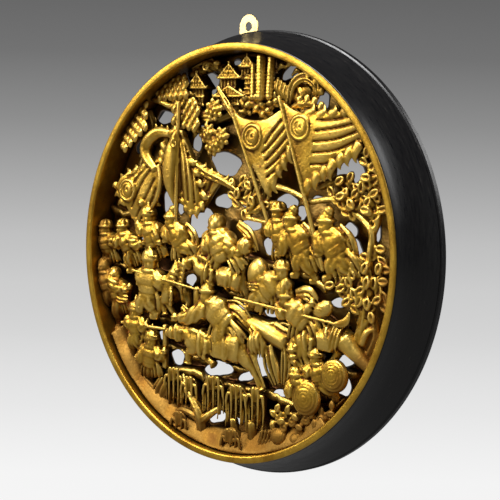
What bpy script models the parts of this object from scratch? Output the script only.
"""Carved, pierced and gilded wooden relief roundel in a lacquered hoop, with its brass wall hanger.

World frame: metres, +Z up, the front faces -Y and the wall is the plane y = 0.
The origin lies on the back of the hanger plate, where it meets the wall.
"""

import math

import bmesh
import bpy
from mathutils import Matrix, Vector

# Hoop, worked out inwards from its overall radius
BACK_RADIUS = 0.220
FLARE_WIDTH = 0.015
EDGE_WIDTH = 0.008
REBATE_WIDTH = 0.004
FRONT_RADIUS = BACK_RADIUS - FLARE_WIDTH
SIGHT_RADIUS = FRONT_RADIUS - EDGE_WIDTH
REBATE_RADIUS = SIGHT_RADIUS + REBATE_WIDTH
HOOP_DEPTH = 0.0555
FRONT_ROUNDING = 0.0014
STRAIGHT_SIDE = 0.020
LIP_WIDTH = 0.0062
GROOVE_WIDTH = 0.0016
GROOVE_DEPTH = 0.0016
FLARE_START_SHARE = 0.12
FLARE_BEND = 1.35
REBATE_START = 0.036
HOOP_STEPS = 64

# Carved panel
PANEL_DEPTH = 0.044
PANEL_CLEARANCE = 0.0003
BAND_WIDTH = 0.0095
BAND_FRONT = REBATE_START + PANEL_CLEARANCE
CARVING_GRAIN = 0.0024
FACET_SHARE = 0.0275
WEB_FRONT = 0.0315
WEB_BACK = 0.0425
PIERCING_FRONT = 0.021

# Wall hanger
WALL_GAP = 0.0003
PLATE_THICKNESS = 0.0016
PLATE_WIDTH = 0.024
PLATE_RISE = 0.0190
PLATE_FOOT = 0.0170
ORIGIN_DROP = 0.00425
PLATE_CORNER = 0.003
EYE_DIAMETER = 0.0095
HANGER_OFFSET = -0.028
SCREW_EDGE = 0.0055
SCREW_SPACING = PLATE_WIDTH - 2 * SCREW_EDGE
SCREW_SHANK = 0.0026
SCREW_HEAD = 0.0055
SCREW_LENGTH = 0.011
SCREW_TAPER = 0.003
SCREW_SINK_SHARE = 0.7
SCREW_RIM = 0.0001
SCREW_CLEARANCE = 0.0003
SCREW_HEIGHT = 0.0075

# The carving is drawn on a front view whose sight radius is 197 units and whose depth is 44 units.
DRAWING_RADIUS = 197.0
DRAWING_DEPTH = 44.0
UNIT = SIGHT_RADIUS / DRAWING_RADIUS
DEPTH_UNIT = PANEL_DEPTH / DRAWING_DEPTH
# The drawing is laid out as the carving looks from the front right: a form that lies deeper than
# the layout plane is slid back along that line of sight.
LAYOUT_DEPTH = 8.0
SLIDE_ACROSS = -0.93
SLIDE_UP = -0.09

# Openings of the pierced ground: (x, z) of the middle, half width, half height, tilt in degrees
PIERCINGS = [
    (-33, 170, 11, 12, 0), (-69, 172, 8, 7, 0), (-96, 136, 13, 7, 0), (-133, 104, 8, 7, 0),
    (-50, 110, 6, 9, 0), (-45, 128, 5, 5, 0), (-10, 90, 16.5, 12, -10), (-90, 48, 7, 13, 0),
    (-71, 43, 5, 7, 0), (-42, 30, 16, 14, 35), (-11, 52, 12, 7, 0), (-118, 8, 11, 4, 0),
    (-150, -9, 8, 8, 0), (-128, -14, 4, 5, 0), (-55, -3, 8, 5, 0), (-55, -31, 8, 6, 40),
    (-56, -43, 6, 3, 0), (74, 180, 13, 6, 30), (113, 152, 9, 9, 0), (3, 190, 5, 4, 0),
    (148, 86, 16, 14, 0), (112, 59, 8, 3, 0), (73, 55, 14, 7, 0), (25, 53, 12, 8, 0),
    (28, 31, 13, 6, 0), (52, 11, 8, 9, 0), (92, 45, 6, 7, 0), (96, 24, 7, 9, 0),
    (151, 31, 9, 7, 0), (155, 11, 12, 12, 0), (183, 30, 4, 8, 0), (93, -3, 7, 4, 30),
    (-95, -92, 5, 5, 0), (-71, -112, 9, 9, 40), (-13, -118, 16.5, 8, 8), (-13, -167, 12, 7, 20),
    (-112, -129, 10, 3, 0), (25, -51, 15, 5, 12), (57, -55, 10, 4, 0), (72, -33, 8, 6, 0),
    (33, -71, 12, 4, 0), (45, -104, 9, 17, 20), (26, -121, 12, 5, 20), (142, -37, 12, 5, 10),
    (176, -60, 8, 13, 20), (151, -91, 16.5, 6, 15), (150, -117, 8, 9, -40), (103, -93, 5, 6, 0),
    (85, -62, 4, 4, 0), (72, -132, 11, 4, 0), (14, -168, 9, 4, 0),
]

EPS = 1e-6
# The exact solver leaves the carving open, because its many forms cross and touch each other
FUSING_SOLVER = "MANIFOLD"
CUT_MARGIN = 0.002

HOOP_BACK = -(PLATE_THICKNESS + WALL_GAP)
FRONT = HOOP_BACK - HOOP_DEPTH
RIM_ABOVE_CENTRE = math.sqrt(BACK_RADIUS ** 2 - HANGER_OFFSET ** 2)
CENTRE = Vector((-HANGER_OFFSET, 0.0, ORIGIN_DROP - RIM_ABOVE_CENTRE))
PLATE_TOP = ORIGIN_DROP + PLATE_RISE
PLATE_BOTTOM = ORIGIN_DROP - PLATE_FOOT


def clear_scene():
    """Remove every object of the open file."""
    for old in list(bpy.data.objects):
        bpy.data.objects.remove(old)


def material(name, colour, roughness, metallic):
    """A plain Principled finish."""
    made = bpy.data.materials.new(name)
    made.use_nodes = True
    shader = made.node_tree.nodes["Principled BSDF"]
    shader.inputs["Base Color"].default_value = (*colour, 1.0)
    shader.inputs["Roughness"].default_value = roughness
    shader.inputs["Metallic"].default_value = metallic
    return made


def add_object(name, bm, finish, smooth_angle=35.0):
    """Turn a bmesh into a named object with its finish."""
    bmesh.ops.recalc_face_normals(bm, faces=bm.faces)
    mesh = bpy.data.meshes.new(name)
    bm.to_mesh(mesh)
    bm.free()
    mesh.materials.append(finish)
    mesh.shade_smooth()
    mesh.set_sharp_from_angle(angle=math.radians(smooth_angle))
    made = bpy.data.objects.new(name, mesh)
    bpy.context.scene.collection.objects.link(made)
    return made


def helper(made):
    """Mark an object as a cutter or guide."""
    made.hide_render = True
    made.display_type = "WIRE"
    return made


def boolean(target, operation, other, solver="EXACT"):
    """Add a Boolean with one object."""
    step = target.modifiers.new(operation.lower(), "BOOLEAN")
    step.operation = operation
    step.object = other
    step.solver = solver


def turned(profile, steps):
    """Spin a closed profile of (radius, y) pairs round the roundel's axis."""
    bm = bmesh.new()
    verts = [bm.verts.new((radius, y, 0.0)) for radius, y in profile]
    edges = [bm.edges.new((a, b)) for a, b in zip(verts, verts[1:] + verts[:1])]
    bmesh.ops.spin(
        bm, geom=verts + edges, axis=(0, 1, 0), cent=(0, 0, 0), steps=steps, angle=math.tau,
    )
    bmesh.ops.remove_doubles(bm, verts=bm.verts, dist=EPS)
    bmesh.ops.translate(bm, vec=CENTRE, verts=bm.verts)
    return bm


def hoop_profile():
    """The hoop's section: gilded front edge, straight side, flare, groove, lip and rebate."""
    flare_end = HOOP_DEPTH - LIP_WIDTH - GROOVE_WIDTH
    section = [
        (SIGHT_RADIUS + FRONT_ROUNDING, 0.0),
        (FRONT_RADIUS - FRONT_ROUNDING, 0.0),
        (FRONT_RADIUS - 0.3 * FRONT_ROUNDING, 0.3 * FRONT_ROUNDING),
        (FRONT_RADIUS, FRONT_ROUNDING),
    ]
    flare_rise = BACK_RADIUS - GROOVE_DEPTH - FRONT_RADIUS
    for share in (0.0, 0.35, 0.7, 1.0):
        depth = STRAIGHT_SIDE + (flare_end - STRAIGHT_SIDE) * share
        flared = FLARE_START_SHARE + (1 - FLARE_START_SHARE) * share ** FLARE_BEND
        section.append((FRONT_RADIUS + flare_rise * flared, depth))
    section += [
        (BACK_RADIUS - 2 * GROOVE_DEPTH, flare_end + 0.5 * GROOVE_WIDTH),
        (BACK_RADIUS, flare_end + GROOVE_WIDTH),
        (BACK_RADIUS, HOOP_DEPTH),
        (REBATE_RADIUS, HOOP_DEPTH),
        (REBATE_RADIUS, REBATE_START),
        (SIGHT_RADIUS, REBATE_START),
        (SIGHT_RADIUS, FRONT_ROUNDING),
    ]
    return [(radius, FRONT + depth) for radius, depth in section]


def screw_places():
    """Centres of the two screws, on the foot of the hanger plate."""
    height = PLATE_BOTTOM + SCREW_HEIGHT
    return [Vector((side * SCREW_SPACING / 2, 0.0, height)) for side in (-1, 1)]


def rod(radius, y_from, y_to, place, steps):
    """A cylinder along Y, as a bmesh."""
    bm = bmesh.new()
    turn = Matrix.Rotation(math.radians(90.0), 4, "X")
    middle = Matrix.Translation((place.x, (y_from + y_to) / 2, place.z))
    bmesh.ops.create_cone(
        bm, cap_ends=True, segments=steps, radius1=radius, radius2=radius,
        depth=abs(y_to - y_from), matrix=middle @ turn,
    )
    return bm


def build_hoop(finish):
    """The turned hoop with the two screw bores in its back."""
    hoop = add_object("frame_hoop", turned(hoop_profile(), HOOP_STEPS), finish)
    bore_radius = SCREW_SHANK / 2 + SCREW_CLEARANCE
    for index, place in enumerate(screw_places()):
        deep = HOOP_BACK - SCREW_LENGTH
        bore = rod(bore_radius, deep, CUT_MARGIN, place, 12)
        cutter = helper(add_object(f"bore_cutter_{index}", bore, finish))
        boolean(hoop, "DIFFERENCE", cutter)


def build_hanger(plate_finish):
    """Brass strap with a rounded top, its eye and two countersunk screws."""
    half = PLATE_WIDTH / 2
    top = PLATE_TOP - half
    bottom = PLATE_BOTTOM
    outline = [(-half, bottom + PLATE_CORNER), (-half + PLATE_CORNER, bottom)]
    outline += [(half - PLATE_CORNER, bottom), (half, bottom + PLATE_CORNER)]
    arc_steps = 12
    for index in range(arc_steps + 1):
        angle = math.pi * index / arc_steps
        outline.append((half * math.cos(angle), top + half * math.sin(angle)))
    bm = bmesh.new()
    face = bm.faces.new([bm.verts.new((x, 0.0, z)) for x, z in outline])
    lifted = bmesh.ops.extrude_face_region(bm, geom=[face])
    moved = [item for item in lifted["geom"] if isinstance(item, bmesh.types.BMVert)]
    bmesh.ops.translate(bm, vec=(0.0, -PLATE_THICKNESS, 0.0), verts=moved)
    plate = add_object("hanger_plate", bm, plate_finish)
    eye = rod(EYE_DIAMETER / 2, -PLATE_THICKNESS - CUT_MARGIN, CUT_MARGIN, Vector((0, 0, top)), 20)
    boolean(plate, "DIFFERENCE", helper(add_object("eye_cutter", eye, plate_finish)))
    for side, place in zip(("left", "right"), screw_places()):
        build_screw(side, place, plate, plate_finish)


def build_screw(side, place, plate, finish):
    """One countersunk screw and the seat it needs in the plate."""
    head = SCREW_HEAD / 2
    shank = SCREW_SHANK / 2
    sink = SCREW_SINK_SHARE * PLATE_THICKNESS
    end = HOOP_BACK - SCREW_LENGTH
    section = [
        (EPS, -EPS), (head, -EPS), (head, -SCREW_RIM), (shank, -sink),
        (shank, end + SCREW_TAPER), (EPS, end + SCREW_CLEARANCE),
    ]
    grown = [
        (EPS, CUT_MARGIN), (head + SCREW_CLEARANCE, CUT_MARGIN),
        (head + SCREW_CLEARANCE, -SCREW_RIM - SCREW_CLEARANCE / 2),
        (shank + SCREW_CLEARANCE, -sink - SCREW_CLEARANCE / 2),
        (shank + SCREW_CLEARANCE, -PLATE_THICKNESS - CUT_MARGIN),
        (EPS, -PLATE_THICKNESS - CUT_MARGIN),
    ]
    add_object(f"screw_{side}", spun_at(section, place), finish)
    seat = helper(add_object(f"seat_cutter_{side}", spun_at(grown, place), finish))
    boolean(plate, "DIFFERENCE", seat)


def spun_at(section, place, steps=16):
    """Spin an open profile of (radius, y) pairs round a Y axis through a place, closing its ends."""
    bm = bmesh.new()
    rings = []
    for radius, y in section[1:-1]:
        rings.append([
            bm.verts.new((
                place.x + radius * math.cos(math.tau * k / steps), y,
                place.z + radius * math.sin(math.tau * k / steps),
            )) for k in range(steps)
        ])
    for near, far in zip(rings, rings[1:]):
        for k in range(steps):
            bm.faces.new((near[k], near[(k + 1) % steps], far[(k + 1) % steps], far[k]))
    for ring, (radius, y) in ((rings[0], section[0]), (rings[-1], section[-1])):
        tip = bm.verts.new((place.x, y, place.z))
        for k in range(steps):
            bm.faces.new((ring[k], ring[(k + 1) % steps], tip))
    return bm


def spot(x, z, depth):
    """World place of a drawing point: x across, z up, depth behind the front edge."""
    past = depth - LAYOUT_DEPTH
    across = (x + SLIDE_ACROSS * past) * UNIT
    up = (z + SLIDE_UP * past) * UNIT
    return CENTRE + Vector((across, FRONT + depth * DEPTH_UNIT, up))


class Carving:
    """Collects the closed rough forms that are fused into the carved panel."""

    def __init__(self, finish):
        self.finish = finish
        self.group = bpy.data.collections.new("carving_forms")

    def keep(self, bm):
        """Store one closed form as a helper object."""
        bmesh.ops.recalc_face_normals(bm, faces=bm.faces)
        mesh = bpy.data.meshes.new("carving_form")
        bm.to_mesh(mesh)
        bm.free()
        form = helper(bpy.data.objects.new(f"carving_form_{len(self.group.objects):03d}", mesh))
        self.group.objects.link(form)

    def blob(self, place, size, tilt=0.0, sides=6):
        """An ellipsoid; size is (half width, half depth, half height), tilt in degrees."""
        bm = bmesh.new()
        grow = Matrix.Diagonal((size[0] * UNIT, size[1] * DEPTH_UNIT, size[2] * UNIT, 1.0))
        lean = Matrix.Rotation(math.radians(tilt), 4, "Y")
        where = Matrix.Translation(spot(*place))
        bmesh.ops.create_uvsphere(
            bm, u_segments=sides, v_segments=4, radius=1.0, matrix=where @ lean @ grow,
        )
        self.keep(bm)

    def limb(self, points, radii, sides=5, flat=1.0, turn=0.0):
        """A tapering branch through drawing points, flattened in depth by a factor."""
        places = [spot(*point) for point in points]
        bm = bmesh.new()
        rings = []
        for index, place in enumerate(places):
            before = places[max(index - 1, 0)]
            after = places[min(index + 1, len(places) - 1)]
            along = (after - before).normalized()
            guide = Vector((0, 1, 0)) if abs(along.y) < 0.85 else Vector((0, 0, 1))
            across = along.cross(guide).normalized()
            inward = along.cross(across).normalized()
            ring = []
            for k in range(sides):
                angle = math.tau * k / sides + turn
                reach = across * math.cos(angle) + inward * (flat * math.sin(angle))
                ring.append(bm.verts.new(place + reach * radii[index] * UNIT))
            rings.append(ring)
        for near, far in zip(rings, rings[1:]):
            for k in range(sides):
                bm.faces.new((near[k], near[(k + 1) % sides], far[(k + 1) % sides], far[k]))
        bm.faces.new(rings[0])
        bm.faces.new(rings[-1])
        self.keep(bm)

    def slab(self, outline, front, back):
        """A flat form cut to an outline of (x, z) pairs, straight through from front to back."""
        bm = bmesh.new()
        face = bm.faces.new([bm.verts.new(spot(x, z, front)) for x, z in outline])
        lifted = bmesh.ops.extrude_face_region(bm, geom=[face])
        moved = [item for item in lifted["geom"] if isinstance(item, bmesh.types.BMVert)]
        bmesh.ops.translate(bm, vec=(0.0, (back - front) * DEPTH_UNIT, 0.0), verts=moved)
        self.keep(bm)

    def disc(self, place, radius, thickness, sides=12, crown=0.6):
        """A round shield or boss facing the front, with a raised middle."""
        x, z, depth = place
        bm = bmesh.new()
        middle = spot(x, z, depth)
        rings = []
        for share, rise in ((1.0, thickness), (1.0, 0.0), (0.5, -crown * thickness)):
            ring = []
            for k in range(sides):
                angle = math.tau * k / sides
                offset = Vector((math.cos(angle), 0.0, math.sin(angle))) * radius * share * UNIT
                ring.append(bm.verts.new(middle + offset + Vector((0, rise * DEPTH_UNIT, 0))))
            rings.append(ring)
        for near, far in zip(rings, rings[1:]):
            for k in range(sides):
                bm.faces.new((near[k], near[(k + 1) % sides], far[(k + 1) % sides], far[k]))
        bm.faces.new(rings[0])
        bm.faces.new(rings[-1])
        self.keep(bm)

    def flames(self, start, end, count, reach, lean=0.3, width=0.62):
        """A row of pointed tongues along the edge of a banner, to the left of its direction."""
        (x0, z0, d0), (x1, z1, d1) = start, end
        length = math.hypot(x1 - x0, z1 - z0)
        step_x = (x1 - x0) / count
        step_z = (z1 - z0) / count
        out = (-(z1 - z0) / length, (x1 - x0) / length)
        for index in range(count):
            share = (index + 0.5) / count
            x = x0 + (x1 - x0) * share
            z = z0 + (z1 - z0) * share
            depth = d0 + (d1 - d0) * share
            root = (x - out[0] * 2.5, z - out[1] * 2.5, depth)
            tip = (x + out[0] * reach + step_x * lean, z + out[1] * reach + step_z * lean, depth)
            self.limb([root, tip], [width * length / count, 0.5], sides=4, flat=0.35)


def lerp(a, b, share):
    """Point between two drawing points."""
    return tuple(p + (q - p) * share for p, q in zip(a, b))


def figure(carve, head, hips, hands=(), feet=(), size=1.0, hat="helmet"):
    """A warrior from the places of his head, hips, hands and feet."""
    carve.blob(head, (7.0 * size, 6.5 * size, 8.0 * size))
    chest = lerp(head, hips, 0.42)
    collar = lerp(head, hips, 0.20)
    carve.limb([collar, chest, hips], [7.0 * size, 10.5 * size, 9.0 * size], sides=6, flat=0.75)
    if hat == "helmet":
        top = (head[0], head[1] + 11.5 * size, head[2])
        brim = (head[0], head[1] + 2.5 * size, head[2])
        carve.limb([brim, top], [8.0 * size, 2.0 * size], sides=6)
    elif hat == "wrap":
        carve.blob((head[0] + 2 * size, head[1] + 9 * size, head[2] + 1), (4.5 * size,) * 3)
    for index, hand in enumerate(hands):
        side = -1 if hand[0] < collar[0] else 1
        shoulder = (collar[0] + 7 * side * size, collar[1] - 3 * size, collar[2])
        elbow = lerp(shoulder, hand, 0.5)
        elbow = (elbow[0], elbow[1] - 4 * size, elbow[2] + 1)
        carve.limb([shoulder, elbow, hand], [5.0 * size, 4.4 * size, 3.2 * size])
    for foot in feet:
        knee = lerp(hips, foot, 0.5)
        knee = (knee[0] - 3 * size, knee[1], knee[2] - 3)
        carve.limb([hips, knee, foot], [7.0 * size, 5.5 * size, 3.4 * size])


def horse(carve, muzzle, poll, chest, rump, feet=(), tail=(), size=1.0):
    """A horse from the places of its muzzle, poll, chest, rump, feet and tail."""
    cheek = lerp(poll, muzzle, 0.35)
    carve.limb([poll, cheek, muzzle], [5.0 * size, 6.5 * size, 3.4 * size], sides=6, flat=0.8)
    carve.limb([chest, lerp(chest, poll, 0.55), poll], [11 * size, 8.5 * size, 5.5 * size], sides=6)
    belly = lerp(chest, rump, 0.5)
    carve.limb(
        [lerp(chest, rump, -0.12), chest, belly, rump, lerp(chest, rump, 1.18)],
        [7 * size, 12 * size, 11.5 * size, 14 * size, 6 * size], sides=7, flat=0.85,
    )
    for index, foot in enumerate(feet):
        root = chest if index % 2 == 0 else rump
        knee = lerp(root, foot, 0.55)
        knee = (knee[0] + (5 if index % 2 else -5) * size, knee[1], knee[2])
        carve.limb([root, knee, foot], [8.0 * size, 4.4 * size, 3.4 * size])
    if tail:
        carve.limb([rump, *tail], [6.0 * size] + [5.0 * size] * (len(tail) - 1) + [2.0 * size])


def pole(carve, foot, top, radius=2.0):
    """A spear shaft or banner pole."""
    carve.limb([foot, lerp(foot, top, 0.5), top], [radius, radius, radius * 0.8])


def pagoda(carve, apex, half, drop, depth, body_bottom=None, body_half=None):
    """A roof that is a low pyramid, on a square body."""
    x, z = apex
    base = (x, z - drop, depth)
    carve.limb([base, (x, z, depth)], [half * 1.35, 1.0], sides=4, turn=math.pi / 4)
    if body_bottom is not None:
        low = (x, body_bottom, depth)
        carve.limb([low, base], [body_half * 1.35] * 2, sides=4, turn=math.pi / 4)


def willow(carve, x, top, bottom, half, depth):
    """A weeping crown: a rounded dome with straight hanging sides."""
    outline = [(x - half, bottom), (x + half, bottom)]
    for index in range(7):
        angle = math.pi * index / 6
        outline.append((x + half * math.cos(angle), top - half + half * math.sin(angle)))
    carve.slab(outline, depth - 5, depth + 8)


def leaves(carve, places, size, thick=4.0):
    """Low rounded leaf clumps."""
    for index, place in enumerate(places):
        tilt = 25.0 * (index % 3 - 1)
        carve.blob(place, (size, thick, size * 0.72), tilt, sides=5)


def ledge(carve, points, height, front, back):
    """A strip of ground, from a row of (x, z) points on its top."""
    top = list(points)
    under = [(x, z - height) for x, z in reversed(points)]
    carve.slab(top + under, front, back)


def add_banners(carve):
    """The three flying banners, the curled one and the furled one, with poles and whorl bosses."""
    carve.slab([(-168, 58), (-160, 71), (-138, 75), (-109, 83), (-104, 66), (-110, 46), (-136, 21),
                (-150, 38)], 8, 13)
    carve.disc((-150, 57, 7), 11, 3)
    carve.flames((-166, 62, 12), (-112, 82, 13), 5, 9)
    carve.flames((-106, 80, 13), (-106, 50, 14), 3, 8)
    carve.flames((-158, 44, 12), (-170, 66, 12), 2, 13)
    carve.slab([(-5, 141), (3, 132), (20, 129), (40, 131), (60, 141), (73, 106), (52, 76), (42, 60),
                (25, 84), (10, 107)], 8, 12)
    carve.disc((24, 114, 7), 12, 3)
    carve.flames((74, 100, 13), (46, 62, 12), 4, 10)
    carve.slab([(57, 150), (75, 139), (105, 136), (137, 138), (150, 120), (155, 108), (130, 93),
                (104, 80), (90, 67), (76, 100), (65, 126)], 6, 10)
    carve.disc((82, 123, 5), 11, 3)
    carve.flames((152, 106, 9), (94, 70, 9), 6, 11)
    carve.flames((88, 138, 9), (134, 138, 9), 4, 8)
    carve.limb([(-92, 116, 12), (-112, 115, 13), (-122, 103, 14), (-120, 90, 13), (-110, 80, 11)],
               [5, 6, 6.5, 5.5, 5], sides=6, flat=0.8)
    carve.flames((-126, 88, 15), (-120, 118, 14), 3, 12)
    carve.flames((-118, 118, 14), (-84, 119, 12), 3, 9)
    carve.limb([(-94, 112, 16), (-98, 96, 17), (-112, 82, 15)], [3.5, 3.5, 4], flat=0.6)
    carve.limb([(-128, 42, 11), (-124, 36, 26)], [6, 6])
    carve.flames((-96, 110, 15), (-100, 86, 15), 3, 8)
    carve.limb([(-80, 118, 10), (-83, 100, 10), (-84, 72, 10), (-77, 44, 10)], [3, 7, 7, 2])
    carve.limb([(-70, 120, 12), (-68, 98, 14), (-60, 72, 14), (-46, 48, 13)], [4, 8, 11, 4],
               sides=6, flat=0.6)
    carve.flames((-44, 46, 14), (-64, 44, 16), 2, 9)
    carve.limb([(-58, 92, 14), (-38, 80, 13), (-15, 72, 12), (8, 61, 11)], [6, 6, 4.5, 1.5],
               sides=5, flat=0.5)
    carve.slab([(-60, 70), (-12, 72), (-28, 56), (-42, 40), (-56, 46)], 15, 20)
    pole(carve, (-78, -10, 9), (-77, 146, 11), 2.6)
    pole(carve, (63, 0, 10), (4, 128, 9), 2.4)
    pole(carve, (116, -8, 8), (60, 142, 7), 2.6)


def add_town(carve):
    """Pagodas, wall, columns and the beam at the top."""
    pagoda(carve, (-53, 178), 11, 15, 20, 148, 5)
    pagoda(carve, (-10, 184), 11, 15, 18, 148, 9)
    pagoda(carve, (-9, 170), 14, 10, 18)
    pagoda(carve, (15, 193), 9, 11, 20, 158, 7)
    carve.slab([(4, 178), (48, 177), (47, 158), (6, 160)], 16, 30)
    carve.slab([(-36, 156), (-14, 156), (-14, 148), (-36, 148)], 16, 34)
    carve.limb([(34, 150, 18), (34, 190, 20)], [5.5, 5.5], sides=6)
    carve.limb([(47, 150, 20), (48, 190, 22)], [3.6, 3.6], sides=6)
    carve.limb([(46, 176, 12), (55, 156, 12)], [3, 3], sides=4)
    carve.limb([(-22, 160, 12), (0, 134, 11)], [3.2, 3.2], sides=4)
    carve.limb([(-60, 176, 26), (-30, 186, 28), (5, 180, 30), (40, 186, 30)], [5, 5, 5, 5])
    ring = []
    for k in range(9):
        angle = math.radians(-200 + 30 * k)
        ring.append((87 + 16 * math.cos(angle), 155 - 14 * math.sin(angle), 16))
    carve.limb(ring, [5] * len(ring), sides=4)
    carve.limb([(78, 146, 13), (88, 145, 11), (96, 151, 11)], [3.5, 4, 2.5])
    carve.blob((92, 155, 20), (11, 8, 11))


def add_trees(carve):
    """Trunks, branches and leaf clumps."""
    trunk_rows = [
        ([(-62, 60, 28), (-74, 96, 26), (-78, 140, 20), (-104, 150, 18), (-118, 152, 20)],
         [6, 6, 4, 3, 2.5]),
        ([(-74, 120, 26), (-52, 134, 26), (-26, 134, 26), (4, 140, 28)], [7, 8, 7, 5]),
        ([(-140, 60, 28), (-118, 110, 30), (-122, 140, 28), (-140, 140, 22)], [5, 6, 6, 4]),
        ([(-112, 112, 30), (-82, 116, 30)], [6, 6]),
        ([(163, -76, 20), (172, -30, 16), (172, 6, 14), (173, 30, 14), (160, 42, 16),
          (140, 52, 16)], [9, 8, 4, 3.5, 3, 3]),
        ([(173, 28, 14), (180, 46, 16), (172, 74, 16), (163, 98, 16)], [3.2, 3, 3, 2.5]),
        ([(92, 58, 12), (66, 66, 13), (40, 68, 18), (8, 58, 24)], [2.4, 2.6, 3.5, 4]),
        ([(98, 54, 12), (124, 58, 14), (142, 54, 16)], [2.5, 2.5, 2.5]),
        ([(112, 70, 18), (142, 78, 20), (152, 62, 20)], [4, 4, 4]),
        ([(20, 36, 14), (52, 32, 12)], [2.2, 2.2]),
        ([(22, 40, 16), (44, 50, 16), (60, 52, 14)], [3, 3, 3]),
        ([(-33, -186, 18), (-36, -168, 14), (-58, -140, 16), (-62, -128, 18)], [7, 6, 4, 3]),
        ([(-34, -170, 14), (-12, -156, 16), (8, -150, 18)], [5, 3, 3]),
        ([(-36, -172, 16), (-62, -166, 18), (-78, -168, 20)], [4, 3.5, 3]),
    ]
    for points, radii in trunk_rows:
        carve.limb(points, radii)
    for row in range(4):
        for column in range(4):
            x = -156 + 11 * column + 2 * row
            z = 117 + 10 * row + 6 * column
            carve.blob((x, z, 16), (5.4, 7, 4.6), 20, sides=5)
    for row in range(3):
        for column in range(4):
            carve.blob((-108 + 10 * column + row, 157 + 8 * row + column, 16), (5.4, 8, 4.6), 15,
                       sides=5)
    leaves(carve, [(-68, 182, 22), (-60, 152, 18), (-52, 142, 18), (-62, 134, 20), (-52, 124, 20)], 9, 7)
    leaves(carve, [(-26, 142, 16), (-38, 117, 20), (-24, 112, 20), (-34, 105, 22), (-12, 116, 22),
                   (-16, 127, 24)], 11, 7)
    leaves(carve, [(14, 144, 20), (32, 146, 20), (50, 150, 18), (24, 154, 24), (62, 158, 18),
                   (64, 168, 20), (10, 152, 24)], 10, 7)
    leaves(carve, [(18, 74, 16), (6, 66, 20), (14, 52, 22), (40, 54, 18)], 10, 6)
    leaves(carve, [(138, 54, 14), (152, 58, 14), (166, 58, 14), (148, 48, 14), (170, 46, 14),
                   (162, 90, 15), (166, 78, 15), (178, 60, 15)], 9, 6)
    leaves(carve, [(180, 14, 15), (182, 0, 16), (186, -12, 16), (150, -2, 12), (163, -4, 12),
                   (130, -22, 12), (146, -20, 12), (160, -22, 12), (176, -24, 13), (150, -32, 13),
                   (168, -34, 13), (136, -10, 14)], 10, 6)
    leaves(carve, [(66, -150, 14), (82, -154, 14), (98, -156, 14), (112, -148, 14), (128, -140, 14),
                   (84, -168, 16), (60, -158, 18), (118, -158, 16)], 10, 8)
    carve.blob((70, -172, 14), (10, 9, 9))
    carve.blob((52, -174, 18), (11, 8, 10))


def add_ground(carve):
    """Ledges of ground that tie the figures to the rim."""
    ledge(carve, [(-196, 2), (-150, 4), (-112, -2), (-72, 2), (-40, -2), (0, 2)], 9, 24, 42)
    ledge(carve, [(-178, -18), (-120, -22), (-96, -26)], 7, 22, 38)
    ledge(carve, [(0, 2), (60, -8), (96, -14), (124, -10), (178, 2)], 9, 22, 42)
    ledge(carve, [(58, -12), (88, -8), (120, -22)], 8, 12, 26)
    ledge(carve, [(-30, -28), (20, -38), (62, -30)], 8, 20, 38)
    ledge(carve, [(2, -56), (44, -62), (84, -60), (82, -76), (40, -72)], 6, 12, 36)
    ledge(carve, [(-186, -78), (-150, -92), (-112, -72), (-66, -70), (-30, -64)], 8, 22, 40)
    ledge(carve, [(-92, -98), (-56, -104), (-20, -110), (30, -112), (48, -126)], 7, 22, 38)
    ledge(carve, [(-146, -132), (-110, -128), (-80, -122), (-44, -120), (-34, -126)], 9, 16, 42)
    ledge(carve, [(-10, -128), (20, -130), (54, -130), (84, -136), (118, -134)], 8, 18, 42)
    ledge(carve, [(-72, -158), (-34, -162), (-30, -172), (-70, -170)], 4, 22, 38)
    ledge(carve, [(62, -28), (96, -36), (140, -64), (176, -84)], 8, 20, 38)
    ledge(carve, [(80, -108), (118, -100), (160, -100), (158, -108)], 6, 18, 38)
    ledge(carve, [(-186, 46), (-158, 36), (-130, 40), (-108, 30), (-84, 24)], 8, 24, 40)
    ledge(carve, [(60, 24), (92, 34), (112, 36)], 7, 20, 34)
    rim = []
    for k in range(15):
        angle = math.radians(-152 + 8 * k)
        rim.append((192 * math.cos(angle), 192 * math.sin(angle)))
    inner = [(110, -152), (70, -172), (30, -180), (-10, -182), (-50, -176), (-80, -172),
             (-104, -158), (-124, -146), (-150, -128)]
    carve.slab(rim + inner, 10, 43)


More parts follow.
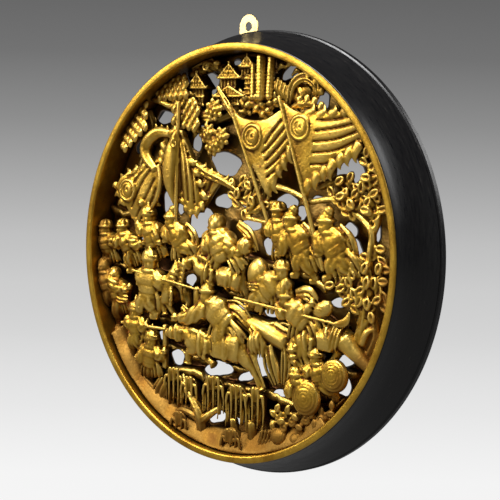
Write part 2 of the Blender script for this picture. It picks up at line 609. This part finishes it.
def add_riders(carve):
    """Horses and their riders."""
    horse(carve, (-80, -34, 8), (-74, -18, 10), (-84, -46, 13), (-62, -42, 24),
          [(-90, -68, 12), (-62, -66, 16), (-76, -68, 14)])
    figure(carve, (-113, -17, 9), (-112, -52, 13), [(-128, -34, 7), (-92, -33, 7)],
           [(-124, -70, 12), (-104, -68, 12)], 1.25)
    horse(carve, (-70, -20, 12), (-46, -10, 13), (-28, -20, 15), (12, -24, 18),
          [(-28, -44, 15), (20, -46, 18)], (), 1.05)
    figure(carve, (-18, 26, 14), (-10, -4, 14), [(8, 0, 10), (-34, -2, 12)], (), 1.45, "none")
    carve.blob((18, 7, 11), (10, 7, 9))
    figure(carve, (67, -16, 9), (44, -38, 13), [(30, -14, 11), (60, -36, 9)], [(30, -46, 18)], 1.15)
    carve.blob((46, -27, 12), (13, 10, 15))
    carve.blob((12, -30, 16), (16, 8, 11))
    figure(carve, (70, -41, 9), (96, -58, 14), [(104, -40, 8), (60, -46, 7)], (), 1.1, "none")
    carve.blob((118, -45, 10), (12, 6, 8), -30)
    horse(carve, (86, -96, 10), (84, -78, 12), (98, -76, 14), (142, -68, 15),
          [(92, -108, 12), (116, -104, 14), (114, -106, 10)],
          [(160, -80, 16), (172, -82, 17), (174, -96, 18)])
    horse(carve, (-84, -86, 9), (-58, -86, 10), (-36, -94, 12), (14, -94, 13),
          [(-52, -112, 12), (46, -128, 14), (-16, -106, 10)], (), 1.25)
    figure(carve, (-32, -46, 10), (-2, -72, 12), [(-74, -72, 8), (-44, -58, 8)],
           [(-16, -94, 8)], 1.2, "wrap")
    carve.limb([(-10, -70, 12), (12, -66, 12), (32, -78, 12)], [9, 10, 7], sides=6)
    carve.blob((36, -84, 11), (9, 8, 13), 15)
    carve.limb([(-46, -38, 8), (-44, -60, 8)], [4, 5.5], sides=4, flat=0.5)
    carve.limb([(50, -92, 16), (58, -110, 14), (78, -120, 15)], [6, 9, 6], sides=6)
    carve.blob((66, -100, 18), (14, 9, 13))


def add_soldiers(carve):
    """Foot soldiers with staffs and shields."""
    figure(carve, (-183, 12, 16), (-176, -6, 22), [(-162, 4, 12)], (), 0.95)
    figure(carve, (-155, 14, 14), (-136, -6, 20), [(-168, 2, 14), (-122, 2, 12)],
           [(-139, -24, 18)], 0.95)
    figure(carve, (-117, 29, 12), (-104, 4, 18), [(-133, 22, 9), (-103, 3, 10)], (), 1.0)
    figure(carve, (-84, 27, 9), (-62, 4, 15), [(-88, 12, 8)], [(-42, 0, 18)], 1.05)
    figure(carve, (60, 42, 12), (66, 10, 16), [(44, 26, 10)], (), 0.95)
    figure(carve, (74, 32, 9), (92, 2, 14), [(66, 12, 8), (60, 4, 9)], [(104, -16, 16)], 1.05,
           "wrap")
    figure(carve, (120, 33, 9), (136, 4, 14), [(108, 8, 7), (112, 18, 7)], [(150, -10, 16)], 1.15,
           "wrap")
    figure(carve, (-184, -28, 14), (-172, -52, 20), [(-150, -50, 12)], [(-176, -74, 22)], 1.0)
    figure(carve, (-167, -36, 16), (-158, -60, 22), [(-146, -44, 14)], [(-160, -86, 24)], 0.95,
           "none")
    figure(carve, (-133, -70, 11), (-128, -90, 16), [(-146, -78, 8), (-118, -82, 8)],
           [(-134, -112, 18), (-118, -108, 18)], 1.0)
    figure(carve, (-108, -98, 11), (-108, -122, 16), [(-130, -117, 11), (-90, -106, 11)], (), 1.0)
    figure(carve, (-160, -96, 22), (-150, -118, 26), [], (), 0.95, "none")
    figure(carve, (88, -113, 10), (104, -128, 16), [(76, -126, 10)], (), 0.95, "none")
    figure(carve, (114, -92, 12), (120, -114, 17), [(100, -103, 11)], [(128, -128, 18)], 0.95)
    carve.disc((132, -105, 8), 15, 7, 14)
    carve.disc((99, -130, 7), 16, 8, 14)
    carve.limb([(-89, -80, 12), (-88, -122, 13)], [4.5, 4.5], sides=4)
    pole(carve, (-155, -82, 6), (-90, -83, 6), 2.0)
    pole(carve, (-141, -26, 4), (-46, -39, 4), 2.1)
    pole(carve, (4, -43, 4), (134, -57, 4), 2.1)
    carve.limb([(132, -57, 5), (141, -54, 5), (147, -44, 6)], [3, 5, 1.2], sides=4, flat=0.4)


def add_willows(carve):
    """Weeping willows and tufts along the bottom."""
    willow(carve, -76, -122, -164, 12, 14)
    willow(carve, -56, -127, -160, 8, 13)
    willow(carve, -22, -124, -160, 12, 13)
    willow(carve, 9, -128, -166, 10, 12)
    willow(carve, 34, -127, -168, 9, 14)
    willow(carve, -68, -166, -186, 10, 14)
    willow(carve, 4, -173, -190, 14, 13)
    carve.limb([(9, -164, 14), (14, -184, 18)], [4, 5])
    carve.limb([(34, -164, 16), (36, -184, 20)], [5, 6])
    carve.limb([(-90, -140, 14), (-96, -156, 16), (-84, -170, 18)], [7, 8, 6])
    carve.blob((-112, -152, 16), (12, 8, 7), 30)


def edge_band(finish):
    """The panel's rim, seated in the hoop's rebate."""
    outer = REBATE_RADIUS - PANEL_CLEARANCE
    inner = outer - BAND_WIDTH
    front = FRONT + BAND_FRONT
    back = FRONT + PANEL_DEPTH
    section = [(inner, front), (outer, front), (outer, back), (inner, back)]
    return helper(add_object("edge_band", turned(section, HOOP_STEPS), finish))


def panel_limits(finish):
    """The space the carving may fill inside the hoop."""
    outer = REBATE_RADIUS - PANEL_CLEARANCE - BAND_WIDTH / 2
    inner = SIGHT_RADIUS - PANEL_CLEARANCE
    front = FRONT + 2 * FRONT_ROUNDING
    back = FRONT + PANEL_DEPTH
    place = Vector((CENTRE.x, 0.0, CENTRE.z))
    bm = rod(min(inner, outer), front, back, place, HOOP_STEPS)
    return helper(add_object("panel_limits", bm, finish))


def build_piercings(finish):
    """Straight cutters for the openings, wide enough to see through along the line of sight."""
    group = bpy.data.collections.new("piercings")
    near = PIERCING_FRONT / DEPTH_UNIT
    web_near = WEB_FRONT / DEPTH_UNIT
    web_far = WEB_BACK / DEPTH_UNIT
    reach = (WEB_BACK - PIERCING_FRONT) + CUT_MARGIN
    for index, (x, z, wide, high, tilt) in enumerate(PIERCINGS):
        bm = bmesh.new()
        outline = []
        for k in range(8):
            angle = math.tau * (k + 0.5) / 8
            lean = math.radians(tilt)
            across = wide * math.cos(angle)
            up = high * math.sin(angle)
            along = across * math.cos(lean) - up * math.sin(lean)
            rise = across * math.sin(lean) + up * math.cos(lean)
            seen = spot(x + along, z + rise, web_far if along < 0 else web_near)
            outline.append(bm.verts.new((seen.x, spot(x, z, near).y, seen.z)))
        face = bm.faces.new(outline)
        lifted = bmesh.ops.extrude_face_region(bm, geom=[face])
        moved = [item for item in lifted["geom"] if isinstance(item, bmesh.types.BMVert)]
        bmesh.ops.translate(bm, vec=(0.0, reach, 0.0), verts=moved)
        cutter = helper(add_object(f"piercing_{index:02d}", bm, finish))
        bpy.context.scene.collection.objects.unlink(cutter)
        group.objects.link(cutter)
    return group


def boolean_group(target, operation, group):
    """Add a Boolean with a whole collection."""
    step = target.modifiers.new(operation.lower(), "BOOLEAN")
    step.operation = operation
    step.operand_type = "COLLECTION"
    step.collection = group
    step.solver = FUSING_SOLVER


def build_panel(finish):
    """Fuse the carving's forms on the pierced ground, trim them to the hoop and join the band."""
    carve = Carving(finish)
    for add_forms in (add_banners, add_town, add_trees, add_ground, add_riders, add_soldiers,
                      add_willows):
        add_forms(carve)
    place = Vector((CENTRE.x, 0.0, CENTRE.z))
    ground = rod(SIGHT_RADIUS, FRONT + WEB_FRONT, FRONT + WEB_BACK, place, HOOP_STEPS)
    rough = add_object("carving_rough", ground, finish)
    boolean_group(rough, "UNION", carve.group)
    boolean_group(rough, "DIFFERENCE", build_piercings(finish))
    soften = rough.modifiers.new("soften", "REMESH")
    soften.mode = "VOXEL"
    soften.voxel_size = CARVING_GRAIN
    thin = rough.modifiers.new("facet", "DECIMATE")
    thin.ratio = FACET_SHARE
    boolean(rough, "INTERSECT", panel_limits(finish), FUSING_SOLVER)
    boolean(rough, "UNION", edge_band(finish), FUSING_SOLVER)
    add_object("relief_panel", largest_body(rough), finish)
    bpy.data.objects.remove(rough)


def largest_body(made):
    """The evaluated mesh of an object without the loose slivers that facetting and trimming leave."""
    graph = bpy.context.evaluated_depsgraph_get()
    graph.update()
    evaluated = made.evaluated_get(graph)
    bm = bmesh.new()
    bm.from_mesh(evaluated.to_mesh())
    evaluated.to_mesh_clear()
    bodies = []
    left = set(bm.verts)
    while left:
        body = set()
        front = [left.pop()]
        while front:
            vert = front.pop()
            body.add(vert)
            near = {edge.other_vert(vert) for edge in vert.link_edges} & left
            left -= near
            front.extend(near)
        bodies.append(body)
    bodies.sort(key=len)
    loose = [vert for body in bodies[:-1] for vert in body]
    bmesh.ops.delete(bm, geom=loose, context="VERTS")
    return bm


def main():
    """Build the whole roundel."""
    clear_scene()
    gilt = material("giltwood", (0.72, 0.47, 0.10), 0.38, 0.9)
    lacquer = material("black_lacquer", (0.012, 0.012, 0.014), 0.35, 0.0)
    brass = material("brass", (0.70, 0.52, 0.22), 0.4, 1.0)
    build_hoop(lacquer)
    build_panel(gilt)
    build_hanger(brass)


main()
